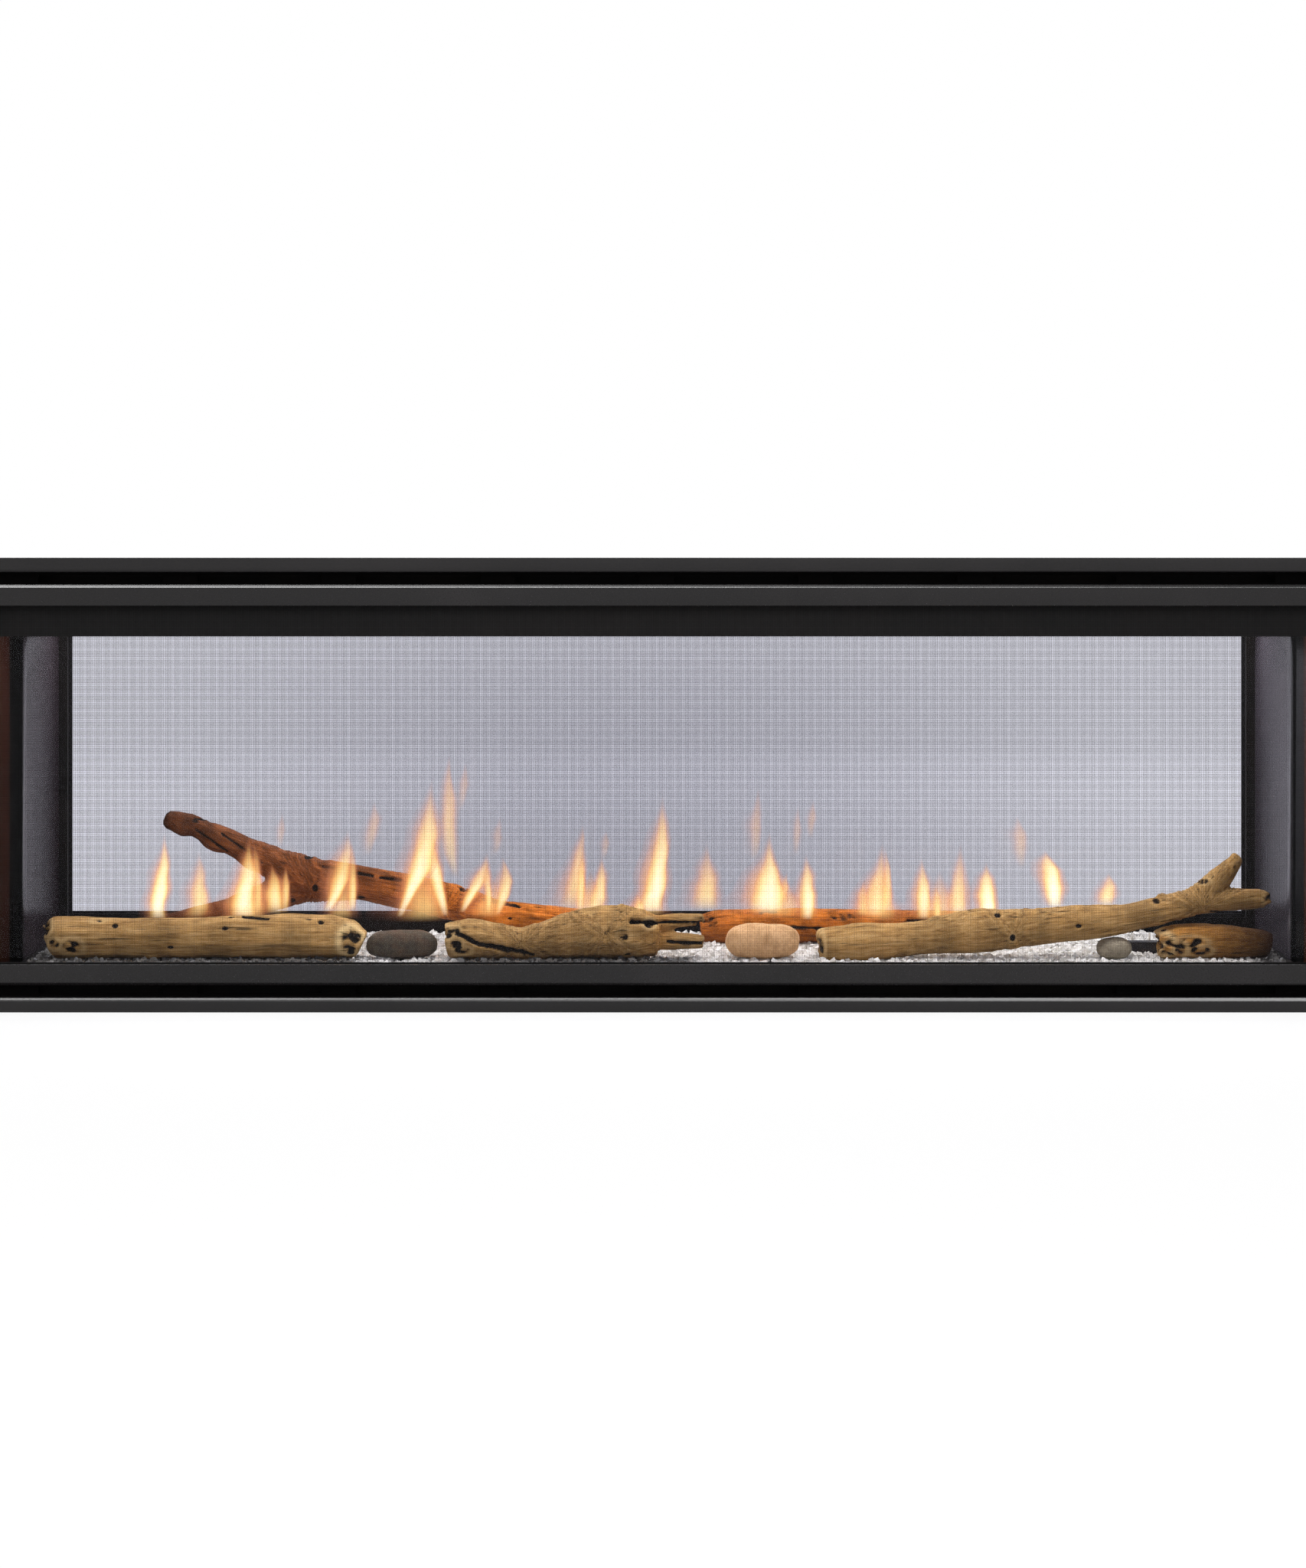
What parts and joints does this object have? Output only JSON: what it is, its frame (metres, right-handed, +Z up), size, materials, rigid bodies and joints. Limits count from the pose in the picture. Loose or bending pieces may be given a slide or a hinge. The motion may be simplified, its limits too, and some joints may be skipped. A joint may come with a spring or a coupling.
{
  "type": "double-sided fireplace",
  "caption": "See-through linear gas fireplace with barrier screens, lift-out glass, a driftwood log set on crushed glass, a line burner and a gas train in a steel casing.",
  "frame": {"origin": "centre of the underside, on the surface that the fireplace stands on", "axes": "+X along the fireplace towards the gas train, +Y through it from the front face to the rear face, +Z up"},
  "size_m": [1.486, 0.46, 0.407],
  "materials": {
    "trim_paint": "satin black powder coat",
    "screen_paint": "satin black powder coat",
    "screen_wire": "black painted woven wire",
    "casing_steel": "galvanised, spangled",
    "firebox_steel": "flat heat-resistant black",
    "liner_enamel": "glossy black enamel",
    "stainless": "heat-tinted brushed stainless",
    "brass": "machined",
    "cast_aluminium": "die cast",
    "tube_aluminium": "drawn",
    "black_plastic": "fine texture",
    "red_plastic": "moulded",
    "handle_paint": "dipped",
    "rod_ceramic": "glazed",
    "pane_glass": "clear ceramic glass",
    "gasket_rope": "graphited glass-fibre rope",
    "crushed_glass": "crushed, clear to white",
    "driftwood": "moulded refractory, painted as weathered driftwood",
    "burnt_driftwood": "moulded refractory, painted as red-brown driftwood",
    "tan_stone": "tumbled",
    "dark_stone": "tumbled",
    "flame": "gas flame"
  },
  "bodies": {
    "housing": {"casing_bottom": "casing_steel", "casing_top": "casing_steel", "casing_right": "casing_steel", "casing_left": "casing_steel", "casing_front": "firebox_steel", "casing_rear": "firebox_steel", "outer_collar": "casing_steel", "inner_collar": "stainless", "firebox_floor": "firebox_steel", "firebox_right_wall": "firebox_steel", "firebox_left_wall": "firebox_steel", "firebox_ceiling": "firebox_steel", "flue_baffle": "firebox_steel", "right_liner": "liner_enamel", "left_liner": "liner_enamel", "media_deck": "firebox_steel", "burner_trough": "stainless", "burner_top": "stainless", "mixer_tube": "stainless", "orifice_holder": "brass", "pilot_bracket": "stainless", "pilot_hood": "stainless", "igniter_rod": "rod_ceramic", "flame_sensor_rod": "rod_ceramic", "glass_media": "crushed_glass", "left_log": "driftwood", "middle_log": "driftwood", "forked_log": "driftwood", "stub_log": "driftwood", "back_log": "burnt_driftwood", "diagonal_log": "burnt_driftwood", "round_stone": "tan_stone", "dark_pebble": "dark_stone", "small_pebble": "tan_stone", "front_trim": "trim_paint", "rear_trim": "trim_paint", "front_glass_seat": "firebox_steel", "rear_glass_seat": "firebox_steel", "gas_valve": "cast_aluminium", "shutoff_valve": "brass", "burner_tube": "tube_aluminium", "supply_tube": "brass", "pilot_tube": "tube_aluminium", "control_module": "black_plastic", "junction_box": "casing_steel"},
    "front_screen": {"front_screen_frame": "screen_paint", "front_screen_net": "screen_wire"},
    "rear_screen": {"rear_screen_frame": "screen_paint", "rear_screen_net": "screen_wire"},
    "front_glass": {"front_glass_frame": "trim_paint", "front_glass_pane": "pane_glass", "front_glass_gasket": "gasket_rope"},
    "rear_glass": {"rear_glass_frame": "trim_paint", "rear_glass_pane": "pane_glass", "rear_glass_gasket": "gasket_rope"},
    "cover": {"access_cover": "casing_steel"},
    "lever": {"shutoff_handle": "handle_paint"},
    "knob": {"flame_knob": "red_plastic"},
    "shutter": {"air_shutter": "casing_steel"},
    "rocker": {"rocker_switch": "red_plastic"}
  },
  "joints": [
    {"name": "front_screen_out", "type": "slide", "parent": "housing", "child": "front_screen", "axis": [0, -1, 0], "range_m": [0, 0.16]},
    {"name": "rear_screen_out", "type": "slide", "parent": "housing", "child": "rear_screen", "axis": [0, 1, 0], "range_m": [0, 0.16]},
    {"name": "front_glass_out", "type": "slide", "parent": "housing", "child": "front_glass", "axis": [0, -1, 0], "range_m": [0, 0.08]},
    {"name": "rear_glass_out", "type": "slide", "parent": "housing", "child": "rear_glass", "axis": [0, 1, 0], "range_m": [0, 0.08]},
    {"name": "cover_out", "type": "slide", "parent": "housing", "child": "cover", "axis": [1, 0, 0], "range_m": [0, 0.06]},
    {"name": "lever_turn", "type": "hinge", "parent": "housing", "child": "lever", "pos_m": [0.6992, -0.15, 0.085], "axis": [0, 0, -1], "range_deg": [0, 90]},
    {"name": "knob_turn", "type": "hinge", "parent": "housing", "child": "knob", "pos_m": [0.6745, 0.083, 0.105], "axis": [0, 0, 1], "range_deg": [0, 180]},
    {"name": "shutter_turn", "type": "hinge", "parent": "housing", "child": "shutter", "pos_m": [0.6545, 0, 0.0225], "axis": [-1, 0, 0], "range_deg": [0, 50]},
    {"name": "rocker_tilt", "type": "hinge", "parent": "housing", "child": "rocker", "pos_m": [0.6755, 0.1722, 0.153], "axis": [0, 0, -1], "range_deg": [0, 16]}
  ],
  "couplings": [
    {"joint": "front_glass_out", "follows": "front_screen_out", "ratio": 0.5},
    {"joint": "rear_glass_out", "follows": "rear_screen_out", "ratio": 0.5}
  ]
}
